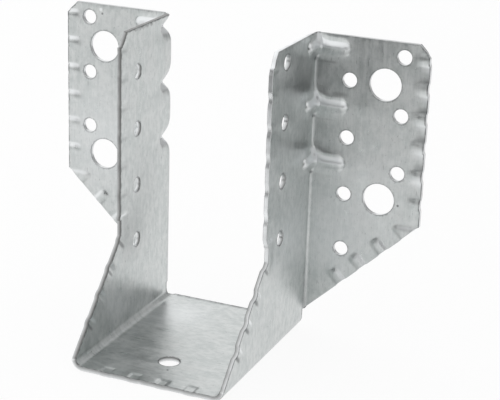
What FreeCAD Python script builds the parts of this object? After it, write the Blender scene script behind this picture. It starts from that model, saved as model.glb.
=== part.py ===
import FreeCAD, Part
import math
import os
import Sketcher

# A face-fixed joist hanger folded from one blank of galvanised sheet.
# Construction frame: X across the joist, Y = 0 on the header's face with the seat running to -Y,
# Z = 0 on the underside of the seat. The right half is modelled, and then mirrored.

doc = FreeCAD.newDocument("joist_hanger")
sheet = doc.addObject("Spreadsheet::Sheet", "Sizes")

# Driving sizes, in millimetres and degrees. Heights are above the seat's top face.
SIZES = [
    ("thickness", 1.5, "sheet thickness"),
    ("seat_bend", 2.5, "inside radius of the folds between seat and walls"),
    ("flange_bend", 1.0, "inside radius of the folds between walls and flanges"),
    ("joist_width", 52.0, "clear width between the side walls"),
    ("side_height", 105.0, "top edge of walls and flanges"),
    ("seat_depth", 70.0, "seat, from header to front edge"),
    ("flange_width", 40.0, "from the wall's outer face to the flange's side edge"),
    ("flange_side_low", 42.5, "lower end of the flange's side edge"),
    ("flange_fold_low", 5.0, "lower end of the fold between wall and flange"),
    ("flange_corner", 4.0, "chamfer on the flange's top corner"),
    ("wall_depth", 38.0, "upright part of the wall, from header to front edge"),
    ("wall_step", 0.8, "how far the upright edge stands in front of the flare's start"),
    ("wall_step_low", 40.0, "lower end of the proud upright edge"),
    ("wall_corner_depth", 3.5, "top front corner cut, along the top edge"),
    ("wall_corner_height", 4.5, "top front corner cut, down the front edge"),
    ("flare_top", 35.0, "where the front edge starts to flare towards the seat's front"),
    ("flare_nose", 2.0, "where the flare meets the seat's front edge"),
    ("nail_hole", 5.0, "diameter of the nail holes"),
    ("nail_pitch", 20.0, "spacing of the nail holes in every column"),
    ("bolt_hole", 11.0, "diameter of the bolt holes"),
    ("bolt_pitch", 40.0, "height between the two bolt holes of a flange"),
    ("seat_hole", 7.0, "diameter of the hole in the seat"),
    ("high_row", 100.0, "top hole of the outer nail column and of the right wall"),
    ("low_row", 90.0, "top hole of the inner nail column, the bolts and the left wall"),
    ("outer_column", 31.0, "outer nail column, from the wall's outer face"),
    ("inner_column", 12.5, "inner nail column, from the wall's outer face"),
    ("bolt_column", 25.0, "bolt column, from the wall's outer face"),
    ("wall_column", 27.0, "nail column in the walls, from the header"),
    ("seat_hole_depth", 53.0, "hole in the seat, from the header"),
    ("outer_nails", 3, "nail holes in the outer column"),
    ("inner_nails", 4, "nail holes in the inner column"),
    ("bolts", 2, "bolt holes in each flange"),
    ("wall_nails", 4, "nail holes in each wall"),
    ("gusset_flange", 12.0, "gusset's end on the flange, from the wall's outer face"),
    ("gusset_wall", 8.5, "gusset's end on the wall, from the flange's front face"),
    ("gusset_rise", 1.6, "how far a gusset stands out from wall and flange"),
    ("gusset_crest", 0.4, "inside radius of the gusset's crest"),
    ("gusset_flank", 40.0, "angle of each gusset flank to its middle plane"),
    ("gusset_row", 101.0, "middle of the top gusset"),
    ("gusset_pitch", 20.0, "spacing of the gussets down the fold"),
    ("gussets", 3, "gussets on each fold"),
    ("crimp_length", 5.2, "edge crimp, along the edge"),
    ("crimp_reach", 4.8, "edge crimp, from the edge inwards"),
    ("crimp_rise", 0.4, "how far an edge crimp is pressed out on walls and flanges"),
    ("seat_crimp_rise", 0.3, "how far an edge crimp is pressed out under the seat"),
    ("crimp_pitch", 10.0, "spacing of the edge crimps"),
    ("crimp_row", 100.2, "middle of the top crimp on walls and flanges"),
    ("upright_crimps", 6, "crimps along each upright edge"),
    ("diagonal_crimp", 18.3, "first crimp on the flange's diagonal, from the fold"),
    ("diagonal_crimps", 3, "crimps along the diagonal"),
    ("corner_crimp", 8.8, "length of the flange's corner crimp along the diagonal"),
    ("bend_crimp_top", 43.2, "top of the long crimp around the wall's bend"),
    ("bend_crimp_end", 3.5, "lower end of that crimp, along the flare from its start"),
    ("flare_crimp", 12.0, "first crimp on the flare, from the flare's start"),
    ("flare_crimps", 3, "crimps along the flare"),
    ("seat_crimps", 2, "crimps on each half of the seat's front edge"),
]
for row, (alias, value, note) in enumerate(SIZES, start=1):
    sheet.set(f"A{row}", alias)
    sheet.set(f"B{row}", str(value))
    sheet.setAlias(f"B{row}", alias)
    sheet.set(f"C{row}", note)
doc.recompute()


def cell(alias):
    return f"Sizes.{alias}"


def number(expression):
    value = sheet.evalExpression(expression)
    return float(getattr(value, "Value", value))


# Positions that follow from the driving sizes, as expressions on the sheet.
THICK = cell("thickness")
BEND = f"({cell('seat_bend')} + {THICK})"
FOLD = f"({cell('flange_bend')} + {THICK})"
INNER = f"({cell('joist_width')} / 2)"
OUTER = f"({INNER} + {THICK})"
EDGE = f"({OUTER} + {cell('flange_width')})"
TOP = f"({cell('side_height')} + {THICK})"
DEPTH = cell("seat_depth")
FRONT = cell("wall_depth")
MARGIN = cell("crimp_length")


def height(alias):
    return f"({cell(alias)} + {THICK})"


FOLD_LOW = height("flange_fold_low")
SIDE_LOW = height("flange_side_low")
FLARE_TOP = height("flare_top")
FLARE_NOSE = height("flare_nose")
DIAGONAL_RUN = f"({SIDE_LOW} - {FOLD_LOW})"
DIAGONAL_ANGLE = f"atan({DIAGONAL_RUN} / {cell('flange_width')})"
FLARE_ANGLE = f"atan(({DEPTH} - {FRONT}) / ({FLARE_TOP} - {FLARE_NOSE}))"

body = doc.addObject("PartDesign::Body", "joist_hanger")
body.Label = "joist_hanger"


def origin_plane(role):
    return next(f for f in body.Origin.OriginFeatures if f.Role == role)


def place_sketch(name, role, base=("0", "0", "0"), axis=(0, 0, 1), angle="0"):
    """A sketch on one of the body's planes, shifted and turned by expressions on the sheet."""
    sketch = body.newObject("Sketcher::SketchObject", name)
    sketch.AttachmentSupport = (origin_plane(role), "")
    sketch.MapMode = "FlatFace"
    start = FreeCAD.Vector(*[number(b) for b in base])
    turn = FreeCAD.Rotation(FreeCAD.Vector(*axis), number(angle))
    sketch.AttachmentOffset = FreeCAD.Placement(start, turn)
    for letter, expression in zip("xyz", base):
        if expression != "0":
            sketch.setExpression(f"AttachmentOffset.Base.{letter}", expression)
    if angle != "0":
        sketch.setExpression("AttachmentOffset.Rotation.Angle", angle)
    return sketch


def hold_point(sketch, geometry, position, x, y):
    for kind, expression in (("DistanceX", x), ("DistanceY", y)):
        rule = Sketcher.Constraint(kind, -1, 1, geometry, position, number(expression))
        index = sketch.addConstraint(rule)
        if any(letter.isalpha() for letter in expression):
            sketch.setExpression(f"Constraints[{index}]", expression)


def draw_loop(sketch, corners):
    """A closed outline. A corner is (x, y), or (x, y, radius, side) where an arc leads on to the
    next corner with its centre on the left (side 1) or on the right (side -1)."""
    points = [FreeCAD.Vector(number(c[0]), number(c[1]), 0) for c in corners]
    first = None
    previous = None
    for i, corner in enumerate(corners):
        start, end = points[i], points[(i + 1) % len(points)]
        if len(corner) == 2:
            edge = sketch.addGeometry(Part.LineSegment(start, end), False)
            ends = (1, 2)
        else:
            radius, side = number(corner[2]), corner[3]
            chord = end - start
            across = FreeCAD.Vector(-chord.y, chord.x, 0).normalize() * side
            centre = (start + end) / 2 + across * math.sqrt(radius ** 2 - chord.Length ** 2 / 4)
            ends = (1, 2) if side > 0 else (2, 1)
            a, b = (start, end) if side > 0 else (end, start)
            a, b = a - centre, b - centre
            circle = Part.Circle(centre, FreeCAD.Vector(0, 0, 1), radius)
            arc = Part.ArcOfCircle(circle, math.atan2(a.y, a.x), math.atan2(b.y, b.x))
            edge = sketch.addGeometry(arc, False)
            index = sketch.addConstraint(Sketcher.Constraint("Radius", edge, radius))
            sketch.setExpression(f"Constraints[{index}]", corner[2])
        hold_point(sketch, edge, ends[0], corner[0], corner[1])
        if previous:
            sketch.addConstraint(Sketcher.Constraint("Coincident", previous[0], previous[1], edge, ends[0]))
        first = first or (edge, ends[0])
        previous = (edge, ends[1])
    sketch.addConstraint(Sketcher.Constraint("Coincident", previous[0], previous[1], first[0], first[1]))


def draw_hole(sketch, x, y, diameter):
    middle = FreeCAD.Vector(number(x), number(y), 0)
    circle = Part.Circle(middle, FreeCAD.Vector(0, 0, 1), number(diameter) / 2)
    edge = sketch.addGeometry(circle, False)
    hold_point(sketch, edge, 3, x, y)
    index = sketch.addConstraint(Sketcher.Constraint("Diameter", edge, number(diameter)))
    sketch.setExpression(f"Constraints[{index}]", diameter)


def add_feature(kind, name, sketch, length=None, reverse=False, symmetric=False):
    """Pad or Pocket from a sketch. Without a length, a Pocket goes right through."""
    feature = body.newObject(f"PartDesign::{kind}", name)
    feature.Profile = sketch
    feature.Reversed = reverse
    if symmetric:
        feature.SideType = "Symmetric"
    if length is None:
        feature.Type = "ThroughAll"
    else:
        feature.setExpression("Length", length)
    feature.Refine = False
    sketch.Visibility = False
    body.Tip = feature
    return feature


def repeat(name, feature, sketch, axis, count, pitch, reverse=False):
    pattern = body.newObject("PartDesign::LinearPattern", name)
    pattern.Originals = [feature]
    pattern.Direction = (sketch, [axis])
    pattern.Reversed = reverse
    pattern.Mode = "Spacing"
    pattern.setExpression("Offset", pitch)
    pattern.setExpression("Occurrences", count)
    pattern.Refine = False
    body.Tip = pattern
    return pattern


def rectangle(low_x, high_x, low_y, high_y):
    return [(low_x, low_y), (high_x, low_y), (high_x, high_y), (low_x, high_y)]


HALF = f"({cell('crimp_length')} / 2)"
REACH = cell("crimp_reach")


def press_crimps(name, role, base, faces, outline, rise="crimp_rise", turn="0", row=None, outward=True):
    """Crimps pressed out on one face and sunk in the other, so that the sheet keeps its thickness."""
    raised_face, sunk_face = faces
    steps = (
        ("Pad", "raised", raised_face, not outward),
        ("Pocket", "sunk", sunk_face, outward),
    )
    for kind, word, face, reverse in steps:
        sketch = place_sketch(f"{name}_{word}_outline", role, (base[0], base[1], face), angle=turn)
        draw_loop(sketch, outline)
        feature = add_feature(kind, f"{name}_{word}", sketch, cell(rise), reverse)
        doc.recompute()
        if row:
            axis, count, backwards = row
            pitch = cell("crimp_pitch")
            repeat(f"{name}_{word}_row", feature, sketch, axis, cell(count), pitch, backwards)
            doc.recompute()


def fold_channel():
    """Half of the U: seat, bottom fold and side wall, as one bent strip."""
    sketch = place_sketch("channel_section", "XZ_Plane")
    draw_loop(sketch, [
        ("0", "0"),
        (f"{OUTER} - {BEND}", "0", BEND, 1),
        (OUTER, BEND),
        (OUTER, TOP),
        (INNER, TOP),
        (INNER, BEND, cell("seat_bend"), -1),
        (f"{OUTER} - {BEND}", THICK),
        ("0", THICK),
    ])
    add_feature("Pad", "channel", sketch, DEPTH)


def fold_flange():
    """The upright fold and the flange, from the fold's lower end to the top."""
    sketch = place_sketch("flange_section", "XY_Plane", ("0", "0", FOLD_LOW))
    draw_loop(sketch, [
        (INNER, f"-{FOLD}"),
        (OUTER, f"-{FOLD}", cell("flange_bend"), -1),
        (f"{INNER} + {FOLD}", f"-{THICK}"),
        (EDGE, f"-{THICK}"),
        (EDGE, "0"),
        (f"{INNER} + {FOLD}", "0", FOLD, 1),
    ])
    add_feature("Pad", "flange", sketch, f"{TOP} - {FOLD_LOW}")


FLANK = cell("gusset_flank")
RISE = cell("gusset_rise")


def gusset_section(radius, outwards):
    """A rounded V across a gusset's arm, measured from the face of the sheet that it starts on."""
    sign = "" if outwards > 0 else "-"
    tangent_x = f"({RISE} - {radius} + {radius} * sin({FLANK}))"
    tangent_y = f"({radius} * cos({FLANK}))"
    foot_y = f"({tangent_y} + ({tangent_x} + {THICK} / 2) * tan({FLANK}))"
    foot_x = f"{'-' if outwards > 0 else ''}{THICK} / 2"
    return [
        (foot_x, f"-{foot_y}"),
        (f"{sign}{tangent_x}", f"-{tangent_y}", radius, outwards),
        (f"{sign}{tangent_x}", tangent_y),
        (foot_x, foot_y),
    ]


def gusset_arm(kind, name, role, base, section, length, reverse):
    sketch = place_sketch(f"{name}_section", role, base)
    draw_loop(sketch, section)
    arm = add_feature(kind, name, sketch, length, reverse)
    doc.recompute()
    repeat(f"{name}_row", arm, sketch, "V_Axis", cell("gussets"), cell("gusset_pitch"), reverse=True)
    doc.recompute()


def press_gussets():
    """Each gusset is a bead pressed out along the flange, around the fold and along the wall."""
    row = height("gusset_row")
    crest = cell("gusset_crest")
    crest_outer = f"({crest} + {THICK})"
    arms = (
        ("flange", "YZ_Plane", (f"-{THICK}", row, f"{OUTER} - {THICK} / 2"), ("0", row, INNER), -1),
        ("wall", "XZ_Plane", (OUTER, row, f"{THICK} / 2"), (INNER, row, "0"), 1),
    )
    for word, role, raised_base, _, outwards in arms:
        length = f"{cell('gusset_' + word)} + {THICK} / 2"
        gusset_arm("Pad", f"{word}_gusset_raised", role, raised_base,
                   gusset_section(crest_outer, outwards), length, False)
    for word, role, _, sunk_base, outwards in arms:
        gusset_arm("Pocket", f"{word}_gusset_sunk", role, sunk_base,
                   gusset_section(crest, outwards), cell("gusset_" + word), True)

    # A gusset near the top edge ends there.
    sketch = place_sketch("top_level", "XY_Plane", ("0", "0", TOP))
    draw_loop(sketch, rectangle(INNER, EDGE, f"-{DEPTH}", "0"))
    add_feature("Pocket", "top_trim", sketch, reverse=True)
    doc.recompute()


def side_crimp():
    row = height("crimp_row")
    return rectangle(f"{EDGE} - {REACH}", f"{EDGE} + {MARGIN}", f"{row} - {HALF}", f"{row} + {HALF}")


def diagonal_crimp():
    start = cell("diagonal_crimp")
    return rectangle(f"{start} - {HALF}", f"{start} + {HALF}", f"-{MARGIN}", REACH)


def corner_crimp():
    """The flange's lower corner, bounded by a level line and by a line along the diagonal."""
    across = (f"sin({DIAGONAL_ANGLE})", f"cos({DIAGONAL_ANGLE})")
    along = cell("corner_crimp")
    foot_x = f"({EDGE} - {along} * {across[1]})"
    foot_z = f"({SIDE_LOW} - {along} * {across[0]})"
    return [
        (f"{EDGE} + {MARGIN}", SIDE_LOW),
        (f"{EDGE} - {REACH} / {across[0]}", SIDE_LOW),
        (f"{foot_x} - {REACH} * {across[0]}", f"{foot_z} + {REACH} * {across[1]}"),
        (f"{foot_x} + {MARGIN} * {across[0]}", f"{foot_z} - {MARGIN} * {across[1]}"),
    ]


def wall_crimp():
    row = height("crimp_row")
    return rectangle(f"-{FRONT} - {MARGIN}", f"-{FRONT} + {REACH}", f"{row} - {HALF}", f"{row} + {HALF}")


def bend_crimp():
    """One long crimp that follows the wall's front edge around the start of the flare."""
    top = height("bend_crimp_top")
    end = cell("bend_crimp_end")
    half_turn = f"tan({FLARE_ANGLE} / 2)"

    def off_flare(inwards):
        return (f"-{FRONT} + ({inwards}) * cos({FLARE_ANGLE}) - {end} * sin({FLARE_ANGLE})",
                f"{FLARE_TOP} - ({inwards}) * sin({FLARE_ANGLE}) - {end} * cos({FLARE_ANGLE})")

    return [
        (f"-{FRONT} - {MARGIN}", top),
        (f"-{FRONT} - {MARGIN}", f"{FLARE_TOP} + {MARGIN} * {half_turn}"),
        off_flare(f"-{MARGIN}"),
        off_flare(REACH),
        (f"-{FRONT} + {REACH}", f"{FLARE_TOP} - {REACH} * {half_turn}"),
        (f"-{FRONT} + {REACH}", top),
    ]


def flare_crimp():
    start = cell("flare_crimp")
    return rectangle(f"{start} - {HALF}", f"{start} + {HALF}", f"-{MARGIN}", REACH)


def seat_crimp():
    middle = f"({cell('crimp_pitch')} / 2)"
    return rectangle(f"{middle} - {HALF}", f"{middle} + {HALF}", f"-{DEPTH} - {MARGIN}", f"-{DEPTH} + {REACH}")


def press_edge_crimps():
    upright = ("V_Axis", "upright_crimps", True)
    press_crimps("side_crimp", "XZ_Plane", ("0", "0"), (THICK, "0"), side_crimp(), row=upright)
    press_crimps("diagonal_crimp", "XZ_Plane", (OUTER, FOLD_LOW), (THICK, "0"), diagonal_crimp(),
                 turn=DIAGONAL_ANGLE, row=("H_Axis", "diagonal_crimps", False))
    press_crimps("corner_crimp", "XZ_Plane", ("0", "0"), (THICK, "0"), corner_crimp())
    press_crimps("wall_crimp", "YZ_Plane", ("0", "0"), (OUTER, INNER), wall_crimp(), row=upright)
    press_crimps("bend_crimp", "YZ_Plane", ("0", "0"), (OUTER, INNER), bend_crimp())
    press_crimps("flare_crimp", "YZ_Plane", (f"-{FRONT}", FLARE_TOP), (OUTER, INNER), flare_crimp(),
                 turn=f"-90 deg - {FLARE_ANGLE}", row=("H_Axis", "flare_crimps", False))
    press_crimps("seat_crimp", "XY_Plane", ("0", "0"), ("0", THICK), seat_crimp(), rise="seat_crimp_rise",
                 row=("H_Axis", "seat_crimps", False), outward=False)


def trim_outlines():
    """The blank's outline: everything outside the flange, the wall's front edge and the seat goes."""
    sketch = place_sketch("flange_outline", "XZ_Plane")
    corner = cell("flange_corner")
    draw_loop(sketch, [
        (OUTER, FOLD_LOW),
        (OUTER, f"-{MARGIN}"),
        (f"{EDGE} + 2 * {MARGIN}", f"-{MARGIN}"),
        (f"{EDGE} + 2 * {MARGIN}", f"{TOP} + {MARGIN}"),
        (f"{EDGE} - {corner}", f"{TOP} + {MARGIN}"),
        (f"{EDGE} - {corner}", TOP),
        (EDGE, f"{TOP} - {corner}"),
        (EDGE, SIDE_LOW),
    ])
    add_feature("Pocket", "flange_trim", sketch, f"{FOLD} + {cell('crimp_rise')}", reverse=True)
    doc.recompute()

    sketch = place_sketch("wall_outline", "YZ_Plane")
    proud = f"-{FRONT} - {cell('wall_step')}"
    corner_low = f"{TOP} - {cell('wall_corner_height')}"
    draw_loop(sketch, [
        (f"-{FRONT} + {cell('wall_corner_depth')}", f"{TOP} + {MARGIN}"),
        (f"-{DEPTH} - 2 * {MARGIN}", f"{TOP} + {MARGIN}"),
        (f"-{DEPTH} - 2 * {MARGIN}", f"-{MARGIN}"),
        (f"-{DEPTH}", f"-{MARGIN}"),
        (f"-{DEPTH}", FLARE_NOSE),
        (f"-{FRONT}", FLARE_TOP),
        (f"-{FRONT}", height("wall_step_low")),
        (proud, height("wall_step_low")),
        (proud, corner_low),
        (f"-{FRONT}", corner_low),
        (f"-{FRONT} + {cell('wall_corner_depth')}", TOP),
    ])
    add_feature("Pocket", "wall_trim", sketch, reverse=True)
    doc.recompute()

    # Below the fold, the wall's back edge stands at the start of the fold, clear of the header.
    sketch = place_sketch("relief_outline", "XY_Plane", ("0", "0", FOLD_LOW))
    draw_loop(sketch, [
        (f"{OUTER} - {BEND}", "0"),
        (INNER, f"-{FOLD}"),
        (f"{OUTER} + {MARGIN}", f"-{FOLD}"),
        (f"{OUTER} + {MARGIN}", MARGIN),
        (f"{OUTER} - {BEND}", MARGIN),
    ])
    add_feature("Pocket", "fold_relief", sketch)
    doc.recompute()


def drill_column(name, role, base, x, y, diameter, count, pitch, reverse):
    """A column of holes from its top hole down, through the sheet that lies ahead of the plane."""
    sketch = place_sketch(f"{name}_centre", role, base)
    draw_hole(sketch, x, y, diameter)
    hole = add_feature("Pocket", name, sketch, f"2 * {THICK}", reverse)
    doc.recompute()
    if count:
        repeat(f"{name}_column", hole, sketch, "V_Axis", count, pitch, reverse=True)
        doc.recompute()


def drill_flange():
    on_back = ("0", "0", f"-{THICK} / 2")
    nail, pitch = cell("nail_hole"), cell("nail_pitch")
    columns = (
        ("outer_nail", "outer_column", "high_row", nail, "outer_nails", pitch),
        ("inner_nail", "inner_column", "low_row", nail, "inner_nails", pitch),
        ("bolt", "bolt_column", "low_row", cell("bolt_hole"), "bolts", cell("bolt_pitch")),
    )
    for name, column, row, diameter, count, spacing in columns:
        x = f"{OUTER} + {cell(column)}"
        drill_column(name, "XZ_Plane", on_back, x, height(row), diameter, cell(count), spacing, True)


def mirror_half():
    mirror = body.newObject("PartDesign::Mirrored", "left_half")
    mirror.TransformMode = "Whole shape"
    mirror.MirrorPlane = (origin_plane("YZ_Plane"), [""])
    mirror.Refine = False
    body.Tip = mirror
    doc.recompute()


def drill_channel():
    """The walls' nail holes are staggered from side to side, and the seat has one hole."""
    nail, pitch, count = cell("nail_hole"), cell("nail_pitch"), cell("wall_nails")
    column = f"-{cell('wall_column')}"
    right = ("0", "0", f"{INNER} - {THICK} / 2")
    left = ("0", "0", f"-{INNER} + {THICK} / 2")
    drill_column("right_nail", "YZ_Plane", right, column, height("high_row"), nail, count, pitch, True)
    drill_column("left_nail", "YZ_Plane", left, column, height("low_row"), nail, count, pitch, False)
    below = ("0", "0", f"-{THICK} / 2")
    drill_column("seat_screw", "XY_Plane", below, "0", f"-{cell('seat_hole_depth')}",
                 cell("seat_hole"), None, None, True)


fold_channel()
fold_flange()
doc.recompute()
press_gussets()
press_edge_crimps()
trim_outlines()
drill_flange()
mirror_half()
drill_channel()

# Faces that lie in one plane are joined once, in the last feature.
body.Tip.Refine = True

# The part's origin is below the middle of its outline, at its lowest point.
body.setExpression("Placement.Base.y", f"{DEPTH} / 2")
body.setExpression("Placement.Base.z", cell("seat_crimp_rise"))
doc.recompute()

for thing in doc.Objects:
    failed = [word for word in thing.State if word in ("Invalid", "Error")]
    if failed:
        raise RuntimeError(f"{thing.Name} is {failed}")
if body.Shape.isNull() or not body.Shape.isValid() or len(body.Shape.Solids) != 1:
    raise RuntimeError("the hanger isn't one valid solid")

os.makedirs("parts", exist_ok=True)
body.Shape.exportStep(f"parts/{body.Label}.step")
box = body.Shape.optimalBoundingBox()
print(f"{body.Label}: {box.XLength:.2f} x {box.YLength:.2f} x {box.ZLength:.2f} mm,",
      f"volume {body.Shape.Volume:.0f} mm3, {len(body.Shape.Faces)} faces")
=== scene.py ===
import math
import bpy
import numpy as np
from mathutils import Matrix, Vector
from mathutils.geometry import delaunay_2d_cdt
from mathutils.kdtree import KDTree


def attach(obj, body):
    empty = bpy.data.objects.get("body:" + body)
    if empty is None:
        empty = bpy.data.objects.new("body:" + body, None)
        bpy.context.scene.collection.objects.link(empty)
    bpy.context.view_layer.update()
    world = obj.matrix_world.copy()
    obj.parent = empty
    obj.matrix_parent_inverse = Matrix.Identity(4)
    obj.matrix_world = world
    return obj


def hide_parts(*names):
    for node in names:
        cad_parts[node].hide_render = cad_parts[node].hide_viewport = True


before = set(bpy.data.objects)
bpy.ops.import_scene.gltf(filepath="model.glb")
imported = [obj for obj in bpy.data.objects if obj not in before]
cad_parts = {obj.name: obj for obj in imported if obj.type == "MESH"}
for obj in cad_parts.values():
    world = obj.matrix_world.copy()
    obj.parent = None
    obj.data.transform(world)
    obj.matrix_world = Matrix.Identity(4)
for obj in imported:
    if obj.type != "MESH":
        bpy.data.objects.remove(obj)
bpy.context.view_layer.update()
print("frame loaded")

# A joist hanger pressed and folded from one blank of galvanised sheet. All lengths are in
# millimetres. The blank is laid out flat: s runs across the seat and on up the walls and
# flanges, and depth runs from the seat's front edge towards the header and on along the flange.
# Most functions take s as positive and serve both sides.

hanger = {
    "thickness": 1.5,
    "seatBend": 2.5,           # inside radius of the folds between seat and walls
    "flangeBend": 1.0,         # inside radius of the folds between walls and flanges
    "halfWidth": 26.0,         # from the middle to a wall's inner face
    "top": 106.5,              # all heights are above the seat's underside
    "seatDepth": 70.0,
    "flangeEdge": 67.5,        # from the middle to a flange's side edge
    "flangeSideLow": 44.0,     # the side edge ends here and the diagonal runs on to the fold
    "foldLow": 6.5,
    "belowFold": 1.0,          # the bend starts this far below it
    "flangeCorner": 4.0,
    "wallDepth": 38.0,         # from the header to a wall's front edge
    "wallStep": 0.8,           # the upper front edge stands this much further forward
    "wallStepLow": 41.5,
    "stepRuns": (0.25, 0.1),   # heights in which the step comes forward and goes back
    "wallCorner": (3.5, 4.5),  # cut along the top edge and down the front edge
    "flareTop": 36.5,          # below this the front edge flares out to the seat's front
    "flareNose": 3.5,
    "foldPoints": 4,           # steps around each fold in the outline
}

toMetres = 0.001
tiny = 1e-6
half = hanger["thickness"] / 2
seatMiddle = hanger["seatBend"] + half       # radii of the sheet's middle surface in the folds
seatOuter = hanger["seatBend"] + 2 * half
flangeMiddle = hanger["flangeBend"] + half
flangeOuter = hanger["flangeBend"] + 2 * half
outerFace = hanger["halfWidth"] + hanger["thickness"]
foldStart = outerFace - seatOuter            # the seat is flat up to here
seatFoldLength = seatMiddle * math.pi / 2
riseStart = foldStart + seatFoldLength - seatOuter
flangeStart = hanger["halfWidth"] + flangeOuter
foldEnd = flangeMiddle * math.pi / 2 - flangeOuter   # depth where the flange is flat again
flangeShift = foldEnd - flangeStart


# Places on the blank: s of a height on a wall or flange, and depth of a distance from the middle
# on a flange.
def sAt(height):
    return riseStart + height


def depthAt(x):
    return flangeShift + x


def smooth(value):
    value = np.clip(value, 0.0, 1.0)
    return value * value * (3.0 - 2.0 * value)


# 1 inside a span, with soft ends: from low, over lowSoft, and up to high, over highSoft.
def between(value, low, lowSoft, high, highSoft):
    return smooth((value - low) / lowSoft) * smooth((high - value) / highSoft)


# A soft spot or line: 1 where every value is at its centre, fading over its width.
def bell(*terms):
    return np.exp(-sum(((value - centre) / width) ** 2 for value, centre, width in terms))


# The front and the back outline of the right half, as rows of (s, depth).
def cutRows():
    h = hanger
    cutDepth, cutHeight = h["wallCorner"]
    forward, back = h["stepRuns"]
    front = [
        (0.0, -h["seatDepth"]),
        (sAt(h["flareNose"]), -h["seatDepth"]),
        (sAt(h["flareTop"]), -h["wallDepth"]),
        (sAt(h["wallStepLow"]), -h["wallDepth"]),
        (sAt(h["wallStepLow"]) + forward, -h["wallDepth"] - h["wallStep"]),
        (sAt(h["top"] - cutHeight), -h["wallDepth"] - h["wallStep"]),
        (sAt(h["top"] - cutHeight) + back, -h["wallDepth"]),
        (sAt(h["top"]), -h["wallDepth"] + cutDepth),
    ]
    slope = (h["flangeSideLow"] - h["foldLow"]) / (h["flangeEdge"] - outerFace)
    reliefSlope = flangeOuter / (h["halfWidth"] - foldStart)
    shares = [step / h["foldPoints"] for step in range(h["foldPoints"] + 1)]
    behind = [(0.0, 0.0)]
    for share in shares:
        angle = share * math.asin((h["halfWidth"] - foldStart) / seatMiddle)
        x = foldStart + seatMiddle * math.sin(angle)
        behind.append((foldStart + seatMiddle * angle, -(x - foldStart) * reliefSlope))
    behind.append((sAt(h["foldLow"]), -flangeOuter))
    first = math.acos((flangeStart - outerFace) / flangeMiddle)
    for share in shares:
        angle = first + share * (math.pi / 2 - first)
        x = flangeStart - flangeMiddle * math.cos(angle)
        height = h["foldLow"] + (x - outerFace) * slope
        behind.append((sAt(height), -flangeOuter + flangeMiddle * angle))
    behind += [
        (sAt(h["flangeSideLow"]), depthAt(h["flangeEdge"])),
        (sAt(h["top"] - h["flangeCorner"]), depthAt(h["flangeEdge"])),
        (sAt(h["top"]), depthAt(h["flangeEdge"] - h["flangeCorner"])),
    ]
    return front, behind


frontRow, backRow = cutRows()

holes = {
    "nailRadius": 2.5,
    "boltRadius": 5.5,
    "seatRadius": 3.5,
    "outerNails": (58.5, (101.5, 81.5, 61.5)),   # from the middle, and heights
    "innerNails": (40.0, (91.5, 71.5, 51.5, 31.5)),
    "bolts": (52.5, (91.5, 51.5)),
    "wallNailDepth": 27.0,
    "rightNails": (101.5, 81.5, 61.5, 41.5),
    "leftNails": (91.5, 71.5, 51.5, 31.5),
    "seatHoleDepth": 53.0,
}


# Every hole's centre on the blank, and its radius.
def holeList():
    rows = (("outerNails", "nailRadius"), ("innerNails", "nailRadius"), ("bolts", "boltRadius"))
    found = []
    for side, wallRow in ((1, holes["rightNails"]), (-1, holes["leftNails"])):
        for name, radius in rows:
            x, heights = holes[name]
            found += [(side * sAt(z), depthAt(x), holes[radius]) for z in heights]
        found += [(side * sAt(z), -holes["wallNailDepth"], holes["nailRadius"]) for z in wallRow]
    found.append((0.0, -holes["seatHoleDepth"], holes["seatRadius"]))
    return found


# Distance from the wall's upright front edge and from its flared one, and distance down the flare.
def inwardFromFront(s, depth):
    bend = np.array([sAt(hanger["flareTop"]), -hanger["wallDepth"]])
    nose = np.array([sAt(hanger["flareNose"]), -hanger["seatDepth"]])
    along = (nose - bend) / np.linalg.norm(nose - bend)
    offS, offDepth = s - bend[0], depth - bend[1]
    alongFlare = offS * along[0] + offDepth * along[1]
    offFlare = -offS * along[1] + offDepth * along[0]
    return offDepth, -offFlare, alongFlare


crimps = {
    "length": 5.2,
    "reach": 6.0,             # from the edge inwards
    "flank": 2.3,
    "fade": 4.4,              # how softly a crimp runs out inwards
    "diagonalFade": 2.0,
    "rise": 0.42,
    "uprightRise": 0.45,      # share of the rise on the walls' upright edges
    "pitch": 10.0,
    "topRow": 101.7,
    "uprightCount": 6,
    "diagonalFirst": 18.3,    # along the diagonal, from the fold
    "diagonalCount": 3,
    "cornerLength": 8.8,      # the crimp that wraps the flange's lower corner
    "bendTop": 44.7,          # and the one that wraps the front edge's bend
    "bendEnd": 3.5,
    "flareFirst": 12.0,       # down the flare, from the bend
    "flareCount": 3,
    "seatCount": 2,           # on each half of the seat's front edge
    "seatRise": 0.3,
    "seatReach": 4.6,
    "seatFlank": 1.3,
    "flankTone": 4.0,         # painted highlight on a crimp's upper flank, and painted shade on its lower one
    "uprightTone": 0.25,      # shares of it
    "diagonalTone": 0.6,
    "seatTone": 1.6,
    "toneReach": 0.6,         # share of the reach in which the flanks' painted highlight and shade come in
    "crestHighlight": 0.5,            # how bright a crimp's painted highlight is, against a gusset's 1
    "drawIn": 0.24,           # the pressed edge moves inwards by this much
    "drawnAt": 0.5,           # and does so fully at this share of the rise
}

# Moves the part so that it stands on the ground with its outline around the middle.
standing = (0.0, hanger["seatDepth"] / 2, crimps["seatRise"])


# The crimps under the seat's front edge: how far they are pressed out, and the painted shade on their
# flanks.
def pressSeatFront(s, depth):
    c = crimps
    flank, halfLength = c["seatFlank"], c["length"] / 2
    inwards = c["seatReach"] - (depth + hanger["seatDepth"])
    press, tone = np.zeros_like(s), np.zeros_like(s)
    for i in range(c["seatCount"]):
        past = s - c["pitch"] * (i + 0.5)
        low, high = smooth((halfLength + past) / flank), smooth((halfLength - past) / flank)
        level = smooth(inwards / flank) * low * high
        press = np.maximum(press, level * (s < foldStart))
        tone = np.minimum(tone, -c["seatTone"] * level * (1 - level) * (s < foldStart))
    return press * c["seatRise"], tone
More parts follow.
